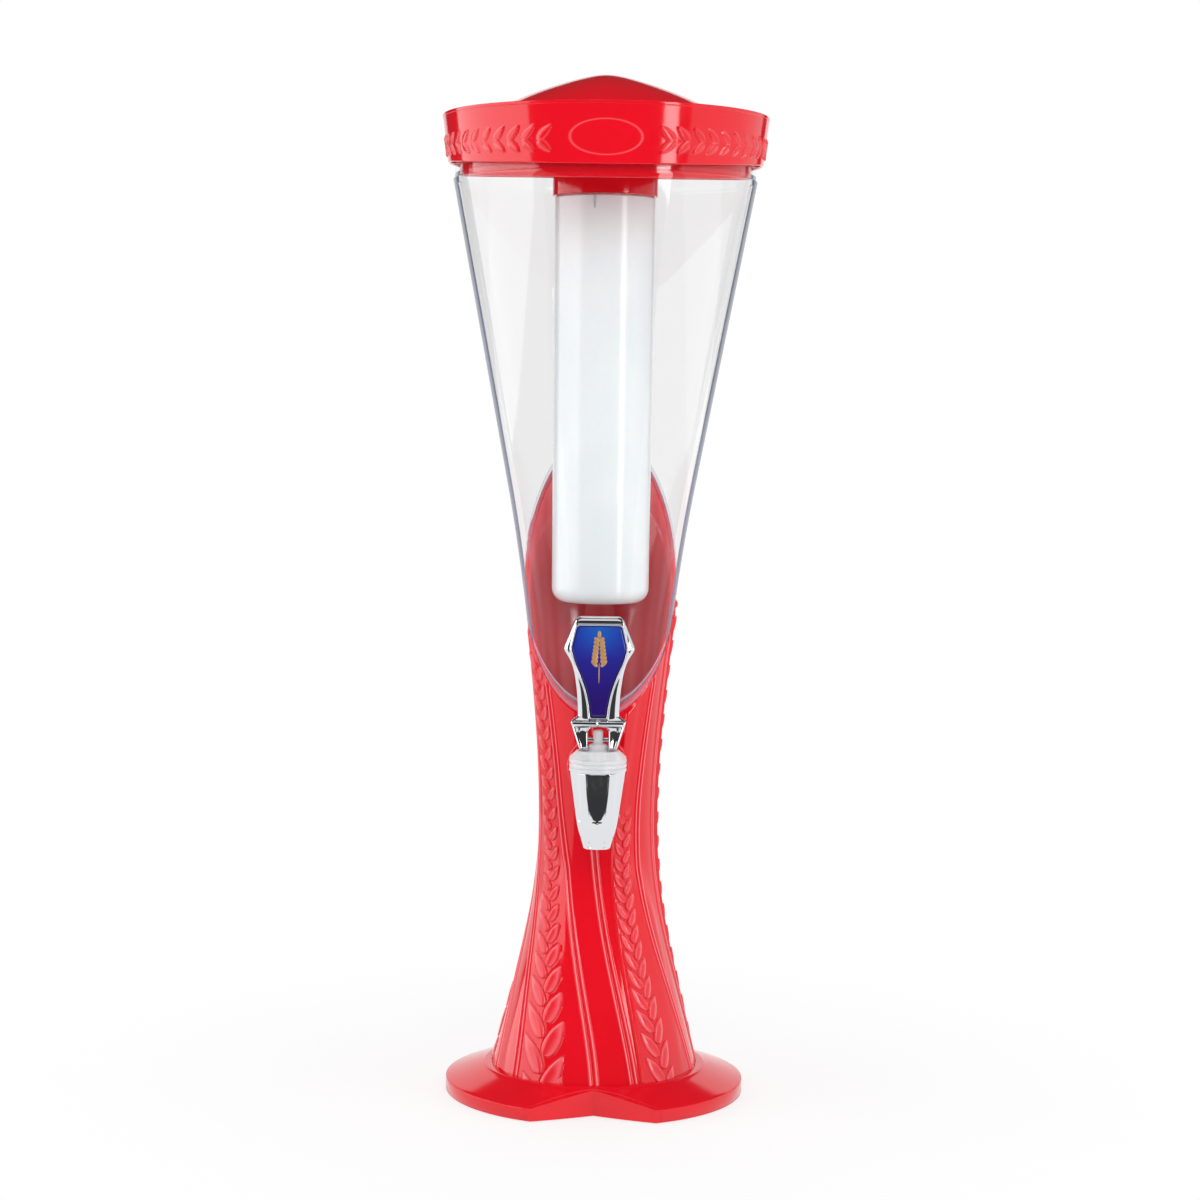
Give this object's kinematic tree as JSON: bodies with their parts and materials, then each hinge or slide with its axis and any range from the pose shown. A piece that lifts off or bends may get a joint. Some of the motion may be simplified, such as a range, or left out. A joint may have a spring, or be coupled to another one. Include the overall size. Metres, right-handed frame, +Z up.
{
  "type": "beer tower dispenser",
  "caption": "Tall drink dispenser: flared twisted column on a notched disc, clear conical tank, domed lid with ice tube, and a lever tap with a sprung valve.",
  "frame": {"origin": "on the column axis at the plane the rubber feet stand on", "axes": "+Z up the column axis, -Y to the front where the tap is, +X to the right seen from the front"},
  "size_m": [0.179, 0.179, 0.563],
  "materials": {
    "red_plastic": "glossy moulded",
    "clear_plastic": "clear, polished",
    "white_plastic": "milky white",
    "clear_cap": "clear moulded",
    "chrome_plate": "bright chrome plate",
    "blue_insert": "blue to violet under a clear coat",
    "screw_steel": "plain",
    "spring_steel": "plain",
    "black_rubber": "matt",
    "seal_rubber": "milky silicone",
    "nut_plastic": "plain"
  },
  "bodies": {
    "tower": {"base_flange": "red_plastic", "base_screws": "screw_steel", "rubber_feet": "black_rubber", "column": "red_plastic", "tank": "clear_plastic", "tap_body": "clear_cap", "spout_shroud": "chrome_plate", "valve_gland": "clear_cap", "gland_seal": "seal_rubber", "stem_seal": "seal_rubber", "shank_outer_washer": "seal_rubber", "shank_inner_washer": "seal_rubber", "shank_nut": "nut_plastic"},
    "stem": {"valve_stem": "clear_cap", "valve_cup": "seal_rubber", "return_spring": "spring_steel"},
    "handle": {"tap_handle": "chrome_plate", "handle_label": "blue_insert", "handle_pin": "screw_steel"},
    "lid": {"lid": "red_plastic"},
    "ice_tube": {"ice_tube": "white_plastic"}
  },
  "joints": [
    {"name": "stem_lift", "type": "slide", "parent": "tower", "child": "stem", "axis": [0, 0, 1], "range_m": [0, 0.0033], "deforming": ["return_spring"]},
    {"name": "handle_tilt", "type": "hinge", "parent": "stem", "child": "handle", "pos_m": [0, -0.06, 0.2046], "axis": [1, 0, 0], "range_deg": [0, 38], "stiffness_Nm_per_rad": 0.05, "springref_deg": -28.65},
    {"name": "lid_lift", "type": "slide", "parent": "tower", "child": "lid", "axis": [0, 0, 1], "range_m": [0, 0.3]},
    {"name": "ice_tube_twist", "type": "hinge", "parent": "lid", "child": "ice_tube", "pos_m": [0, 0, 0.5], "axis": [0, 0, 1], "range_deg": [0, 24]}
  ],
  "couplings": [
    {"joint": "stem_lift", "follows": "handle_tilt", "m_per_rad": 0.0049}
  ]
}
